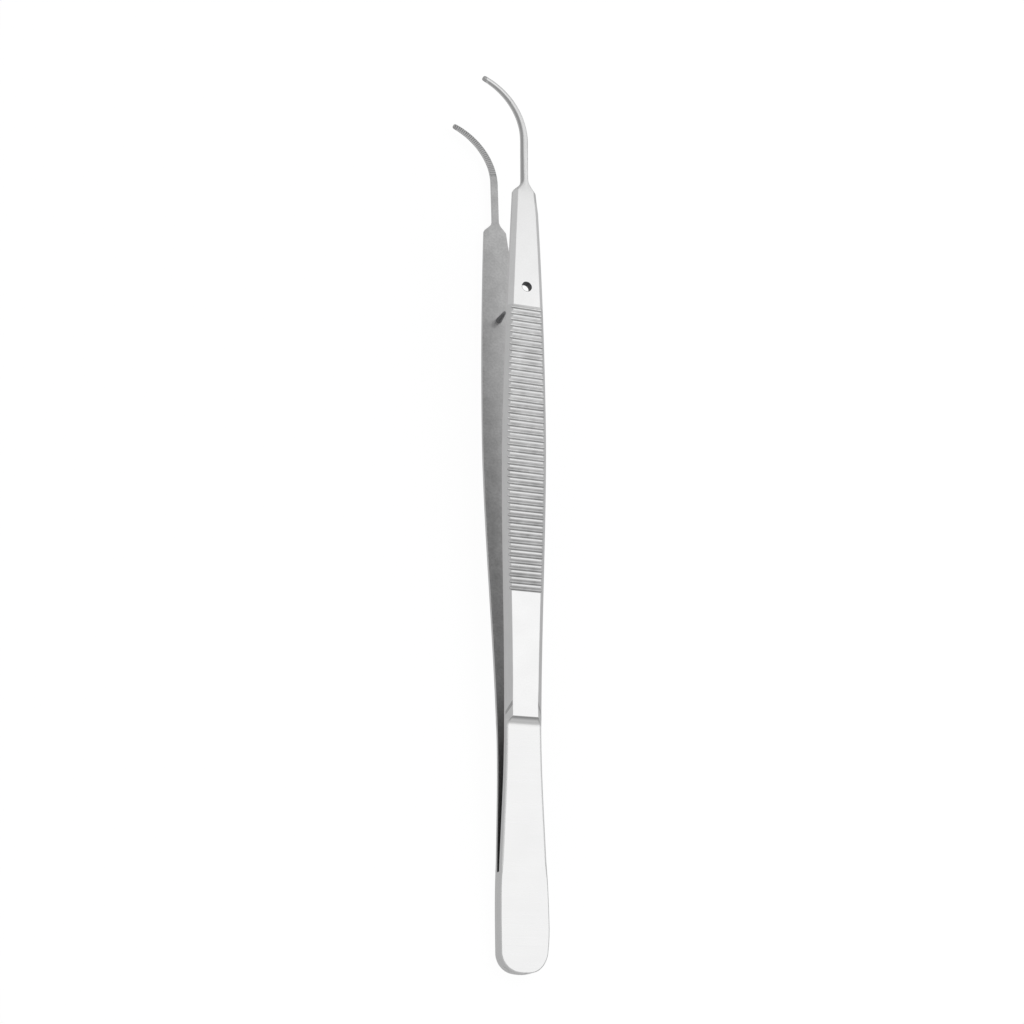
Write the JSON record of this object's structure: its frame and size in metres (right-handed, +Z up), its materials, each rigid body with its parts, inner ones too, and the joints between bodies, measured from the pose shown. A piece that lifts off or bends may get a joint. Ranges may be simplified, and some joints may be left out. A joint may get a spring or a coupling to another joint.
{
  "type": "thumb forceps",
  "caption": "Slender thumb forceps: two sprung steel arms joined at the heel, grooved grips, a guide pin and hole, and fine toothed tips curved to one side.",
  "frame": {"origin": "centre of the footprint box, on the surface that the forceps lie on, on the outer side of the pinned arm", "axes": "+Y along the forceps from the heel to the tips, +Z up, the tips curve towards -X"},
  "size_m": [0.0138, 0.1786, 0.0216],
  "materials": {
    "arm_steel": "satin ground and bead blasted stainless steel",
    "pin_steel": "turned stainless steel, left darker"
  },
  "bodies": {
    "root": {"drilled_arm": "arm_steel", "pinned_arm": "arm_steel", "guide_pin": "pin_steel"}
  },
  "joints": []
}
